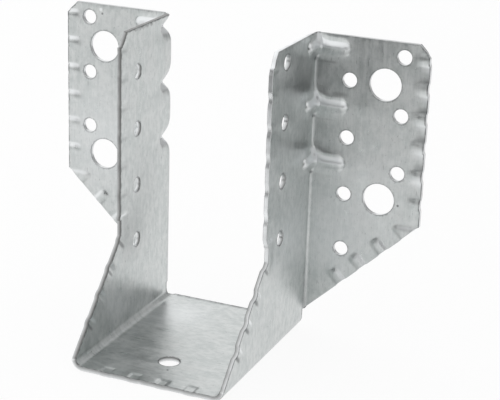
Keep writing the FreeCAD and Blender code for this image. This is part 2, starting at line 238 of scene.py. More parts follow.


# How far each point of the blank is pressed out by the crimps, and its flanks' tone: 1 is the
# painted highlight on a crimp's upper flank and -1 the painted shade on its lower one.
def pressCrimps(s, depth):
    c, h = crimps, hanger
    halfLength, reach = c["length"] / 2, c["reach"]
    press = np.zeros_like(s)
    tone = np.zeros_like(s)

    def add(inwards, ahead, behind, where, share=1.0, toneShare=1.0, fadeLength=c["fade"]):
        nonlocal press, tone
        fade = smooth(inwards / fadeLength) * where
        low, high = smooth(behind / c["flank"]), smooth(ahead / c["flank"])
        press = np.maximum(press, fade * low * high * share)
        # Painted highlight on the upper flank and painted shade on the lower one.
        flanks = c["flankTone"] * (high * (1 - high) - low * (1 - low))
        flanks = flanks * smooth(inwards / (c["toneReach"] * reach)) * where
        tone = np.where(np.abs(flanks) > np.abs(tone), flanks * toneShare, tone)

    side = depthAt(h["flangeEdge"])
    offUpright, offFlare, alongFlare = inwardFromFront(s, depth)
    onFlange, onWall = depth > 0, (s > sAt(h["flareNose"])) & (depth < -flangeOuter)
    for i in range(c["uprightCount"]):
        row = sAt(c["topRow"] - c["pitch"] * i)
        ahead, behind = row + halfLength - s, s - row + halfLength
        add(reach - (side - depth), ahead, behind, onFlange)
        add(reach - offUpright, ahead, behind, depth < -flangeOuter, c["uprightRise"], c["uprightTone"])

    low = np.array([sAt(h["foldLow"]), depthAt(outerFace)])
    corner = np.array([sAt(h["flangeSideLow"]), side])
    length = np.linalg.norm(corner - low)
    run = (corner - low) / length
    offS, offDepth = s - low[0], depth - low[1]
    alongDiagonal = offS * run[0] + offDepth * run[1]
    inwards = reach - (offS * run[1] - offDepth * run[0])
    soft = {"toneShare": c["diagonalTone"], "fadeLength": c["diagonalFade"]}
    for i in range(c["diagonalCount"]):
        past = alongDiagonal - c["diagonalFirst"] - c["pitch"] * i
        add(inwards, halfLength - past, halfLength + past, onFlange, **soft)
    add(inwards, corner[0] - s, alongDiagonal - length + c["cornerLength"], onFlange, **soft)

    offFront = np.maximum(offUpright, offFlare)
    add(reach - offFront, sAt(c["bendTop"]) - s, c["bendEnd"] - alongFlare, onWall)
    for i in range(c["flareCount"]):
        past = alongFlare - c["flareFirst"] - c["pitch"] * i
        add(reach - offFlare, halfLength + past, halfLength - past, onWall)
    seatPress, seatTone = pressSeatFront(s, depth)
    return np.maximum(press * c["rise"], seatPress), tone + seatTone


# The outline's points, moved inwards where the edge is pressed.
def drawIn(points, inward):
    press = pressCrimps(np.abs(points[:, 0]), points[:, 1])[0] / crimps["rise"]
    share = np.minimum(press / crimps["drawnAt"], 1)
    return points + inward * (crimps["drawIn"] * share)[:, None]


gussets = {
    "heights": (102.2, 82.2, 62.2),
    "below": (9.0, 12.2),      # how far beads and ridges may reach below the lowest one
    "onFlange": 12.0,          # a gusset's end, from the wall's outer face
    "onWall": 7.6,             # and from the flange's front face
    "rise": 1.6,
    "beadHalf": 3.3,           # half height of the bead, and of the wider skirt that it drags along
    "skirtHalf": 5.2,
    "skirtShare": 0.12,        # the skirt's share of the rise, away from the fold and at it
    "foldSkirtShare": 0.5,
    "foldReach": 3.2,
    "skirtEnd": (1.5, 4.0),    # the skirt runs on past the end, and fades out over this length
    "crestSoft": 0.16,         # how soft the crest is, as a share of the half height
    "cornerRadius": 2.4,       # the crest's turn from the flange to the wall
    "cornerFrom": 1.2,         # a crest this high has that turn
    "endLength": 2.3,          # blunt ends
    "endWidth": 0.15,          # share of its height that is left at the very end
    "peak": 0.55,              # the upper foot runs up into a peak at the fold
    "peakReach": 4.6,
    "knuckle": 0.06,           # the crest swells a little in its turn
    "knuckleReach": 1.7,
    "stretch": 3.0,            # the sheet is drawn in up to this far past the end
    "crestHighlight": 1.3,             # the higher, the wider the crest's painted highlight
    "crestHighlightBelow": (0.25, -0.9, 0.5),  # the painted highlight's share below the crest, and where it grows to all
    "crestHighlightDown": 6.0,         # a gusset's painted highlight counts down to here below its crest
    "pull": (0.55, 0.25),      # shallow ridge that runs on across the wall, and across the flange
    "pullLength": 13.0,
    "pullHeight": 3.8,
    "pullStart": 4.0,
    "pullEnd": (12.0, 30.0),   # it fades out over this length, and is gone at this one
}


# How much higher a gusset's upper foot stands, growing evenly towards the fold.
def peakAt(along):
    return 1 + gussets["peak"] * np.clip(1 - np.abs(along) / gussets["peakReach"], 0, 1)


# The bead's height across it, from 1 on its crest to 0 at its foot.
def beadSection(share):
    share = np.clip(share, 0, 1)
    soft = gussets["crestSoft"]
    ridge = (math.hypot(1, soft) - np.hypot(share, soft)) / (math.hypot(1, soft) - soft)
    return 0.5 * ridge * (1 - smooth(share)) + 0.5 * (1 - smooth(share))


# How far the folded sheet is pressed out by the gussets. Along the sheet, 0 is the fold's middle.
def pressGussets(z, along):
    g = gussets
    arcHalf = flangeMiddle * math.pi / 4
    leg = np.abs(along) - arcHalf + flangeOuter - half
    tip = np.where(along > 0, g["onFlange"] + half, g["onWall"] + half)
    blunt = np.sqrt(np.clip(1 - np.clip((leg - tip) / g["endLength"] + 1, 0, 1) ** 2, 0, 1))
    share = g["skirtShare"] + (g["foldSkirtShare"] - g["skirtShare"]) * bell((along, 0, g["foldReach"]))
    past, fadeLength = g["skirtEnd"]
    fade = smooth((tip + past - leg) / fadeLength)
    result = np.zeros_like(z)
    for height in g["heights"]:
        off = np.where(z > height, (z - height) / peakAt(along), height - z)
        endBead = beadSection(off / np.maximum(blunt, g["endWidth"]) / g["beadHalf"])
        bead = np.minimum(beadSection(off / g["beadHalf"]), endBead)
        skirt = 1 - smooth(off / g["skirtHalf"])
        swell = g["knuckle"] * bell((along, 0, g["knuckleReach"])) * bead
        pressed = g["rise"] * (bead * blunt * (1 - share) + skirt * share * fade) + swell
        result = np.maximum(result, pressed)
    return np.where(z > min(g["heights"]) - g["below"][0], result, 0.0)


# Beyond its crest, each gusset pulls the sheet into a shallow ridge that fades out.
def pullRidges(s, z, depth):
    g = gussets
    past = np.where(depth < 0, -flangeOuter - depth, depth - foldEnd - g["pullStart"])
    fade = np.exp(-np.maximum(past, 0) / g["pullLength"]) * (s > sAt(min(g["heights"]) - g["below"][1]))
    fadeLength, end = g["pullEnd"]
    away = between(past, -g["pullStart"], g["pullStart"], end, fadeLength)
    size = np.where(depth < 0, *g["pull"])
    levels = sum(bell((z, height, g["pullHeight"])) for height in g["heights"])
    return size * levels * fade * away


# Soft patches of painted light and painted shade, and small marks: s, depth, size and tone.
paintedLightAndMarks = {
    "patches": (
        (-sAt(58), depthAt(50), 26, 0.46),
        (-sAt(50), -20, 22, -0.3),
        (-sAt(33), -32, 11, -0.3),
        (-sAt(13), -42, 10, 0.35),
        (sAt(96), -18, 15, -0.4),
        (sAt(36), -22, 17, 0.32),
        (sAt(97), depthAt(46), 16, -0.25),
        (sAt(50), depthAt(44), 24, 0.34),
        (sAt(29), depthAt(37), 12, 0.32),
        (-15, -17, 14, 0.5),
    ),
    "marks": (
        (-sAt(104.6), depthAt(54.0), 0.9, 0.9),
        (-sAt(103.2), depthAt(53.4), 0.6, -0.7),
        (sAt(50.4), depthAt(59.5), 0.6, -0.8),
        (2.4, -59.1, 0.55, -0.9),
    ),
}

# Painted highlight and painted shade in lines. Each has its strength first, then its height
# above a gusset's crest and its width. Spans run away from the fold: start, soft, end, soft.
paintedLines = {
    "peak": (0.8, 0.8, 0.16, 2.6),       # painted highlight, to the peak: in shares of the foot, and length
    "ring": (0.9, 1.8, 1.4, 0.45),       # painted highlight around the knuckle: height, radius and width
    "dot": (0.55, 0.9),                  # painted shade inside the ring, but not on the top gusset
    "chin": (0.9, -4.5, 0.5, 1.6),       # painted shade in an arc below the knuckle, and its length
    "under": (0.35, -5.3, 0.4, (0, 2, 9, 2)),            # painted shade below the bead on the flange
    "tip": (0.4, 4.0, 0.8, (5, 4, 13.5, 2.5)),           # painted shadow above the bead's end
    "wallBand": (0.45, 3.0, 1.8, (4, 3, 24, 12)),        # painted highlight, a band on the wall
    "wallShade": (0.32, 8.7, 4.0, (1.5, 2.5, 21, 12)),   # and painted shade above it
    "hollow": (0.9, -6.0, 0.5, 0.5),     # painted light in the left hollows, between two heights, by their depth
    "hollowArc": (1.3, 0.4, 0.5, 6.5, 2.0),   # painted shade in an arc above them, its end from the fold, soft
    "armStart": (0.5, 1.5),              # both start here on the wall's side of the fold, soft
    "fold": (0.55, 0.38, 57, 3, 1.3),    # painted shade along the fold: below and above this height, soft, width
    "seatFold": (0.32, 0.7, 0.3),        # painted shade in the left seat fold, outside its middle, by angle
    "foldClear": 0.8,                    # a bead this high hides the fold's painted shade
    "sideBand": 9.0,                     # width of the flanges' outer bands, with their own painted highlight and shade
    "sideLow": (48.0, 47.5),             # their low ends, right and left
    "wave": (0.75, 98.8, 9.8),           # on the right, painted highlight and shade in soft waves between crimps: top and pitch
    "waveSpan": (49, 12, 1.5, 3),        # start, soft, how far under the top they end, soft
    "wavePast": 1.0,                     # how far past the crimps they reach inwards
    "stroke": (1.1, -1.3, 0.75),         # on the left, a painted highlight along each crimp
    "strokeLine": (0.7, 0.45),           # and a line of painted shade
    "strokeEnd": (0.5, 2.0),             # how far short of a crimp's reach both end, soft
}


# One of the lines of painted highlight and painted shade that follow a gusset for a while.
def runningLine(name, off, reach):
    strength, height, width, span = paintedLines[name]
    return strength * bell((off, height, width)) * between(reach, *span)


# What the painted highlight and painted shade around one gusset add to the tone.
def shadeGusset(height, right, z, along, bead):
    k = paintedLines
    off = z - height
    strength, place, width, length = k["peak"]
    foot = gussets["beadHalf"] * peakAt(along)
    bright = strength * bell((off / foot, place, width), (along, 0, length))
    strength, place, ringRadius, width = k["ring"]
    radius = np.hypot(off - place, along)
    bright += strength * bell((radius, ringRadius, width)) + runningLine("wallBand", off, -along)
    strength, place, width, length = k["chin"]
    dark = strength * bell((off, place, width), (along, 0, length))
    if height < max(gussets["heights"]):
        strength, width = k["dot"]
        dark += strength * bell((radius, 0, width))
    dark += runningLine("under", off, along) + runningLine("tip", off, along)
    dark += runningLine("wallShade", off, -along)

    start, soft = k["armStart"]
    inArm = smooth((start - along) / soft)
    strength, low, high, deep = k["hollow"]
    hollow = strength * smooth(bead / deep) * (off < high) * (off > low)
    strength, place, width, end, soft = k["hollowArc"]
    hollow -= strength * bell((off, place, width)) * smooth((end + along) / soft)
    return np.where(right, bright - dark, inArm * hollow)


# The tone with painted highlight and painted shade around the gussets, in the folds and between the
# crimps.
def shadeCreases(right, z, s, depth, along, angle, bead, tone):
    k, c = paintedLines, crimps
    # Painted shade along the upright fold, and in the left seat fold.
    low, high, change, soft, width = k["fold"]
    inFold = bell((along, 0, width)) * (s > sAt(hanger["foldLow"])) * (1 - smooth(bead / k["foldClear"]))
    tone = tone - inFold * (low + (high - low) * smooth((z - change) / soft))
    strength, middle, width = k["seatFold"]
    inSeatFold = (angle > 0) & (angle < math.pi / 2) & ~right
    tone = tone - strength * inSeatFold * (1 - bell((angle, middle, width)))
    tone = tone + sum(shadeGusset(height, right, z, along, bead) for height in gussets["heights"])

    # The flanges' outer bands take their own painted highlight and shade: waves on the right, strokes on
    # the left.
    fromSide = depthAt(hanger["flangeEdge"]) - depth
    inBand = fromSide < k["sideBand"]
    strength, top, pitch = k["wave"]
    low, soft, under, endSoft = k["waveSpan"]
    reach = c["reach"] + k["wavePast"]
    wave = strength * np.cos((z - top) * 2 * math.pi / pitch)
    wave *= between(z, low, soft, hanger["top"] - under, endSoft) * smooth((reach - fromSide) / reach)
    tone = np.where(right & inBand & (z > k["sideLow"][0]), wave, tone)
    row = (c["topRow"] - z + c["pitch"] / 2) % c["pitch"] - c["pitch"] / 2
    strength, place, width = k["stroke"]
    stroke = strength * bell((row, place, width))
    strength, width = k["strokeLine"]
    stroke -= strength * bell((row, 0, width))
    end, soft = k["strokeEnd"]
    stroke *= smooth((c["reach"] - end - fromSide) / soft)
    return np.where(~right & inBand & (z > k["sideLow"][1]), stroke, tone)


# The middle surface of the folded and pressed sheet, the share of painted highlight along the
# crests at each point, and its tone of painted highlight and shade.
def bendSheet(s, depth):
    h, g = hanger, gussets
    side = np.where(s < 0, -1.0, 1.0)
    right = side > 0
    s = np.abs(s)
    angle = np.clip((s - foldStart) / seatMiddle, 0, math.pi / 2)
    x = np.minimum(s, foldStart) + seatMiddle * np.sin(angle)
    z = seatOuter - seatMiddle * np.cos(angle) + np.maximum(s - foldStart - seatFoldLength, 0)
    normal = np.stack([np.sin(angle), np.zeros_like(s), -np.cos(angle)], axis=1)
    y = depth.copy()

    # Around the upright fold the section is an L whose legs and corner move with the gussets.
    turned = (depth > -flangeOuter) & (s > sAt(h["foldLow"]) - h["belowFold"])
    along = depth + flangeOuter - flangeMiddle * math.pi / 4
    bead = pressGussets(z, along)
    reach = g["onFlange"] + g["stretch"]
    cornerRadius = flangeMiddle + (g["cornerRadius"] - flangeMiddle) * smooth(bead / g["cornerFrom"])
    shorter = bead + (cornerRadius - flangeMiddle) * (1 - math.pi / 4)
    newAlong = along - np.clip(along / reach, -1, 1) * shorter
    arcHalf = cornerRadius * math.pi / 4
    turn = np.clip(math.pi / 4 + newAlong / cornerRadius, 0, math.pi / 2)
    cornerX = flangeStart - flangeMiddle + bead
    cornerY = -flangeOuter + flangeMiddle - bead
    legX = cornerX + cornerRadius * (1 - np.cos(turn)) + np.maximum(newAlong - arcHalf, 0)
    legY = cornerY - cornerRadius * (1 - np.sin(turn)) + np.minimum(newAlong + arcHalf, 0)
    beaded = turned | (bead > 0)
    x = np.where(beaded, legX, x)
    y = np.where(beaded, legY, y)
    turned = beaded & (newAlong > -arcHalf)
    normal[turned] = np.stack([np.cos(turn), -np.sin(turn), np.zeros_like(s)], axis=1)[turned]

    press, tone = pressCrimps(s, depth)
    point = np.stack([x, y, z], axis=1) + normal * (press + pullRidges(s, z, depth))[:, None]
    point[:, 0] *= side

    # Painted highlight along the crests: weaker below a gusset's crest, and none in the right flange's
    # outer band.
    low, start, full = g["crestHighlightBelow"]
    offs = [np.where(z > height - g["crestHighlightDown"], z - height, math.inf) for height in g["heights"]]
    off = np.min(offs, axis=0)
    upper = low + (1 - low) * smooth((off - start) / (full - start))
    crestHighlight = crimps["crestHighlight"] * press / crimps["rise"]
    crestHighlight = np.maximum(crestHighlight, smooth(bead * g["crestHighlight"] / g["rise"]) * upper)
    crestHighlight = np.where(right & (depth > depthAt(h["flangeEdge"] - paintedLines["sideBand"])), 0, crestHighlight)
    tone = shadeCreases(right, z, s, depth, along, angle, bead, tone)
    # Soft patches of painted light and painted shade.
    for patchS, patchDepth, size, amount in paintedLightAndMarks["patches"]:
        tone = tone + amount * bell((side * s, patchS, size), (depth, patchDepth, size))
    return point, crestHighlight, tone


meshing = {
    "edgeStep": 0.5,
    "holeLeast": 28,          # least points around a hole
    "chamfer": 0.17,
    "sharpest": 0.4,          # keeps the inset short at sharp corners
    "fine": 0.5,              # distances between the skin's points
    "middle": 0.85,
    "coarse": 1.7,
    "holeBand": 1.3,          # fine this far around a hole, and beside a fold
    "foldBand": 0.8,
    "foldFrom": 5.0,          # heights where the upright fold and the front edge turn fine
    "frontFrom": 2.0,
    "underTop": 0.5,
    "diagonalFrom": 8.0,      # depth from which the diagonal's band is fine, and its wider share
    "diagonalShare": 1.45,
    "gussetBand": (6.5, 13.0, 15.0),  # up and down, on the wall and on the flange
    "clear": 0.42,            # free room beside the outline, as a share of the local step
    "clearLeast": 0.08,
    "holeClear": 0.3,
    "mergeWithin": 1e-5,
    "sharpAngle": 38,         # edges that turn by more than this stay sharp
}


# Points along a closed outline, at most one step apart, with every corner kept.
def denseLoop(corners, step):
    points = []
    for (ax, ay), (bx, by) in zip(corners, corners[1:] + corners[:1]):
        length = math.hypot(bx - ax, by - ay)
        count = max(1, round(length / step))
        points += [(ax + (bx - ax) * i / count, ay + (by - ay) * i / count) for i in range(count)]
    return np.array(points)


def blankOutline():
    right = frontRow + backRow[::-1]
    left = [(-s, depth) for s, depth in right]
    return denseLoop(right + left[::-1][1:-1], meshing["edgeStep"])


def holeLoop(s, depth, radius):
    count = max(meshing["holeLeast"], int(2 * math.pi * radius / meshing["edgeStep"]))
    turn = -2 * math.pi * np.arange(count) / count
    return np.stack([s + radius * np.cos(turn), depth + radius * np.sin(turn)], axis=1)


# The loop moved to its left by an amount, which is inwards for one that runs anticlockwise.
def insetLoop(loop, amount):
    ahead = np.roll(loop, -1, axis=0) - loop
    ahead /= np.linalg.norm(ahead, axis=1)[:, None]
    behind = np.roll(ahead, 1, axis=0)
    normal = np.stack([-(ahead + behind)[:, 1], (ahead + behind)[:, 0]], axis=1)
    normal /= np.linalg.norm(normal, axis=1)[:, None]
    facing = np.abs(-ahead[:, 1] * normal[:, 0] + ahead[:, 0] * normal[:, 1])
    return loop + normal * (amount / np.maximum(facing, meshing["sharpest"]))[:, None]


# The wanted distance between the points of the skin at a place of the blank.
def stepAt(s, depth):
    m, h = meshing, hanger
    s = np.abs(s)
    step = np.full(s.shape, m["coarse"])
    inFold = np.abs(s - foldStart - seatFoldLength / 2) < seatFoldLength / 2 + m["foldBand"]
    step[inFold] = m["middle"]
    flangeFold = (depth > -flangeOuter - m["foldBand"]) & (depth < foldEnd + m["foldBand"])
    step[flangeFold & (s > sAt(m["foldFrom"]))] = m["fine"]
    band = crimps["reach"] + crimps["flank"]
    underTop = s < sAt(h["top"] - m["underTop"])
    offFront = np.maximum(*inwardFromFront(s, depth)[:2])
    fine = (offFront < band) & (s > sAt(m["frontFrom"])) & underTop
    fine |= (depth < -h["seatDepth"] + band) & (s < foldStart)
    side = depthAt(h["flangeEdge"])
    low = np.interp(depth, [0, side], [sAt(h["foldLow"]), sAt(h["flangeSideLow"])])
    fine |= (depth > side - band) & (s > sAt(h["flangeSideLow"])) & underTop
    fine |= (s < low + band * m["diagonalShare"]) & (depth > m["diagonalFrom"])
    upDown, onWall, onFlange = m["gussetBand"]
    nearFold = (depth > -flangeOuter - onWall) & (depth < foldEnd + onFlange)
    for height in gussets["heights"]:
        fine |= (np.abs(s - sAt(height)) < upDown) & nearFold
    for holeS, holeDepth, radius in holeList():
        fine |= np.hypot(s - abs(holeS), depth - holeDepth) < radius + m["holeBand"]
    step[fine] = m["fine"]
    return step


# Points inside the outline: a triangular grid whose step follows the local detail.
def fillPoints(edgeTree):
    m, h = meshing, hanger
    frontS, frontDepth = zip(*frontRow)
    backS, backDepth = zip(*backRow)
    backS = np.maximum.accumulate(np.array(backS) + tiny * np.arange(len(backS)))
    across = sAt(h["top"]) + m["coarse"]
    deep = h["seatDepth"] + depthAt(h["flangeEdge"]) + m["coarse"]
    found = []
    for step in (m["fine"], m["middle"], m["coarse"]):
        rowHeight = step * math.sqrt(3) / 2
        evenRow = np.arange(-int(across / step), int(across / step) + 1) * step
        for row in range(int(deep / rowHeight) + 1):
            depth = -h["seatDepth"] + row * rowHeight
            s = evenRow + (step / 2 if row % 2 else 0.0)
            d = np.full(s.shape, depth)
            inside = d > np.interp(np.abs(s), frontS, frontDepth)
            inside &= d < np.interp(np.abs(s), backS, backDepth)
            inside &= (np.abs(s) < sAt(h["top"])) & (np.abs(stepAt(s, d) - step) < tiny)
            for i in np.flatnonzero(inside):
                if edgeTree.find((s[i], depth, 0))[2] > step * m["clear"] + m["clearLeast"]:
                    found.append((s[i], depth))
    found = np.array(found)
    for s, depth, radius in holeList():
        found = found[np.hypot(found[:, 0] - s, found[:, 1] - depth) > radius + m["holeClear"]]
    return found


# The flat blank's points and triangles, and the loops of its outline and holes. The points start
# with the loops, each one chamfer inside its cut edge.
def buildBlank():
    loops = [blankOutline()] + [holeLoop(*hole) for hole in holeList()]
    skinLoops = [insetLoop(loop, meshing["chamfer"]) for loop in loops]
    inward = skinLoops[0] - loops[0]
    inward /= np.linalg.norm(inward, axis=1)[:, None]
    moved = drawIn(loops[0], inward)
    skinLoops[0] = skinLoops[0] + (moved - loops[0])
    loops[0] = moved
    edgePoints = np.concatenate(skinLoops)
    tree = KDTree(len(edgePoints))
    for i, (s, depth) in enumerate(edgePoints):
        tree.insert((s, depth, 0), i)
    tree.balance()
    allPoints = np.concatenate([edgePoints, fillPoints(tree)])

    edges = []
    start = 0
    for loop in skinLoops:
        count = len(loop)
        edges += [(start + i, start + (i + 1) % count) for i in range(count)]
        start += count
    outlineFace = list(range(len(skinLoops[0])))
    corners = [Vector(point) for point in allPoints.tolist()]
    insideOnly = 1
    result = delaunay_2d_cdt(corners, edges, [outlineFace], insideOnly, meshing["mergeWithin"])
    points = np.array([tuple(v) for v in result[0]])
    triangles = np.array(result[2])
    if len(points) != len(allPoints):
        raise RuntimeError("the blank's points aren't one to one")
    keep = np.ones(len(triangles), bool)
    start = len(skinLoops[0])
    for loop in skinLoops[1:]:
        inLoop = (triangles >= start) & (triangles < start + len(loop))
        keep &= ~inLoop.all(axis=1)
        start += len(loop)
    print("blank:", len(points), "points,", int(keep.sum()), "triangles, edges of", len(edgePoints))
    return points, triangles[keep], loops


def vertexNormals(points, triangles):
    a, b, c = (points[triangles[:, i]] for i in range(3))
    face = np.cross(b - a, c - a)
    normals = np.zeros_like(points)
    for i in range(3):
        np.add.at(normals, triangles[:, i], face)
    return normals / np.linalg.norm(normals, axis=1)[:, None]


# Along each cut edge: painted highlight and shade on its outer and inner part, and painted shade beside
# it.
rims = {
    "edge": (1.0, 0.4, 1.0),
    "flareRight": (0.75, 0.25, 0.35),
    "uprightRight": (0.85, 1.0, 0.35),
    "frontLeft": (0.55, 0.0, 1.0),
    "wallTopLeft": (0.1, 0.15, 1.0),
    "seat": (0.75, 0.2, 1.0),
    "flangeTop": (0.6, 0.75, 0.35),
    "diagonal": (1.0, 0.4, 0.1),
    "flangeHole": (0.8, 0.7, 0.6),
    "rightWallHole": (0.3, 0.9, 0.9),
    "leftWallHole": (1.0, 0.95, 0.3),      # nearer the front
    "leftWallHoleBack": (1.0, 0.0, 1.0),
    "seatHole": (1.0, 0.0, 1.0),
    "holeTurn": (2.0, 0.3),                # how softly the left wall's holes change, and from where
    "nearly": 0.2,                         # room at the ends of the top edge and the diagonal
}


def outlineRim(loop):
    h = hanger
    s, depth = np.abs(loop[:, 0]), loop[:, 1]
    right, topEdge = loop[:, 0] > 0, s > sAt(h["top"]) - rims["nearly"]
    front = (s > sAt(h["flareNose"])) & (depth < -flangeOuter)
    values = np.tile(rims["edge"], (len(loop), 1))
    for name, where in (
            ("flareRight", front & right),
            ("uprightRight", front & right & (s > sAt(h["flareTop"]))),
            ("frontLeft", front & ~right),
            ("wallTopLeft", topEdge & (depth < -flangeOuter) & ~right),
            ("seat", s < sAt(h["flareNose"])),
            ("flangeTop", topEdge & (depth > 0)),
            ("diagonal", (s < sAt(h["flangeSideLow"]) - rims["nearly"]) & (depth > 0))):
        values[where] = rims[name]
    return values


def holeRim(loop):
    s, depth = loop[0]
    if depth > 0:
        return np.tile(rims["flangeHole"], (len(loop), 1))
    if s > sAt(0):
        return np.tile(rims["rightWallHole"], (len(loop), 1))
    if s > -sAt(0):
        return np.tile(rims["seatHole"], (len(loop), 1))
    # On the left wall's holes, the painted highlight and shade turn from the near to the far side.
    near, far = np.array(rims["leftWallHole"]), np.array(rims["leftWallHoleBack"])
    length, start = rims["holeTurn"]
    farSide = smooth((loop[:, 1] - loop[:, 1].mean()) / length + start)
    return near + (far - near) * farSide[:, None]


# The whole sheet: two skins over the folded blank, joined by a chamfered rim along every edge.
def foldHanger():
    flat, triangles, loops = buildBlank()
    middle, crestHighlight, tone = bendSheet(flat[:, 0], flat[:, 1])
    normals = vertexNormals(middle, triangles)
    seatPoint = np.argmin(np.abs(flat[:, 0]) + np.abs(flat[:, 1] + hanger["seatDepth"] / 2))
    if normals[seatPoint, 2] > 0:
        normals = -normals
        triangles = triangles[:, ::-1]
    count = len(flat)
    lip = half - meshing["chamfer"]
    vertices = [middle + normals * half, middle - normals * half]
    faces = [triangles, triangles[:, ::-1] + count]
    blank = [flat, flat]
    # The share of painted highlight along the crests, kept as the pressed attribute.
    pressed = [crestHighlight, crestHighlight]
    cutEdge = [np.zeros(count), np.zeros(count)]
    cutBright = [np.zeros(count), np.zeros(count)]
    edgeLine = np.zeros(count)
    start, made = 0, 2 * count
    for loop in loops:
        size = len(loop)
        place, press = bendSheet(loop[:, 0], loop[:, 1])[:2]
        out = normals[start:start + size]
        rim = outlineRim(loop) if loop is loops[0] else holeRim(loop)
        vertices += [place + out * lip, place - out * lip]
        blank += [loop, loop]
        pressed += [press, press]
        cutEdge += [np.ones(size), np.ones(size)]
        cutBright += [rim[:, 0], rim[:, 1]]
        edgeLine[start:start + size] = rim[:, 2]
        ring = np.arange(size)
        rings = [start + ring, made + ring, made + size + ring, start + count + ring]
        for upper, lower in zip(rings, rings[1:]):
            faces.append(np.stack([upper, np.roll(upper, -1), np.roll(lower, -1), lower], axis=1))
        start += size
        made += 2 * size

    vertices = (np.concatenate(vertices) + np.array(standing)) * toMetres
    mesh = bpy.data.meshes.new("hangerSheet")
    mesh.from_pydata(vertices.tolist(), [], [face for group in faces for face in group.tolist()])
    mesh.update()
    blankPlace = mesh.attributes.new("blankPlace", "FLOAT_VECTOR", "POINT")
    places = np.column_stack([np.concatenate(blank), np.zeros(made)])
    blankPlace.data.foreach_set("vector", places.astype(np.float32).ravel())
    onRim = np.zeros(made - 2 * count)
    for name, values in (("pressed", pressed), ("cutEdge", cutEdge), ("cutBright", cutBright),
                         ("edgeLine", [edgeLine, edgeLine, onRim]), ("paintedLightAndShade", [tone, tone, onRim])):
        attribute = mesh.attributes.new(name, "FLOAT", "POINT")
        attribute.data.foreach_set("value", np.concatenate(values).astype(np.float32))
    mesh.shade_smooth()
    mesh.set_sharp_from_angle(angle=math.radians(meshing["sharpAngle"]))
    sheet = bpy.data.objects.new("hangerSheet", mesh)
    bpy.context.scene.collection.objects.link(sheet)
    print("hanger:", len(vertices), "points,", len(mesh.polygons), "faces")
    return sheet


steel = {
    "dark": (0.53, 0.56, 0.555),
    "light": (0.71, 0.73, 0.725),
    "fleck": (0.24, 0.25, 0.255),
    # The white of painted highlights, and of bright marks.
    "highlightAndMarkWhite": (0.92, 0.94, 0.95),
    # The dark of painted shade, beside the cut edges too, and of dark marks.
    "line": (0.10, 0.105, 0.11),
    # Cut faces run from this dark to cutBright: painted shade and painted highlight on bare steel.
    "cut": (0.17, 0.17, 0.165),
    "cutBright": (0.96, 0.98, 0.99),
    "metallic": 1.0,
    "markCore": 0.3,          # share of a small mark's size that has its full tone
    # Each grain's stretch along s and along depth, its detail and its roughness.
    "grain": {
        "streaks": ((0.05, 1.1, 1.0), 6.0, 0.65),
        "fineStreaks": ((0.22, 3.4, 1.0), 4.0, 0.6),
        "patches": ((0.10, 0.14, 1.0), 5.0, 0.6),
        "mottle": ((0.35, 0.5, 1.0), 4.0, 0.6),
        "flecks": ((0.8, 1.3, 1.0), 3.0, 0.6),
        "dashes": ((0.28, 1.7, 1.0), 2.0, 0.5),
        "brokenLine": ((0.5, 0.5, 1.0), 2.0, 0.6),
        "wornEdge": ((0.22, 0.22, 1.0), 2.0, 0.5),
    },
    "toneShares": {"streaks": 0.20, "fineStreaks": 0.12, "patches": 0.38, "mottle": 0.30},
    "roughShares": {"patches": 0.6, "streaks": 0.4},
    "bumpShares": {"fineStreaks": 0.5, "flecks": 0.35, "mottle": 0.5},
    "bump": (0.10, 0.0004),
    # How each value turns into a share: from low, to high, and what these become.
    "tone": (0.40, 0.60, 0.0, 1.0),
    "flecks": (0.62, 0.74, 0.0, 0.55),
    "dashes": (0.66, 0.74, 0.0, 0.5),
    # How much painted highlight the crests take.
    "pressed": (0.4, 0.9, 0.0, 0.9),
    "highlightShare": (0.0, 1.0, 0.0, 0.9),
    "shadeShare": (0.0, -1.0, 0.0, 0.7),
    "broken": (0.4, 0.58, 0.45, 0.95),
    "worn": (0.35, 0.65, 1.05, 0.85),
    "rough": (0.35, 0.65, 0.27, 0.42),
    "crestHighlightRough": (0.35, 0.9, 0.0, 0.1),
}


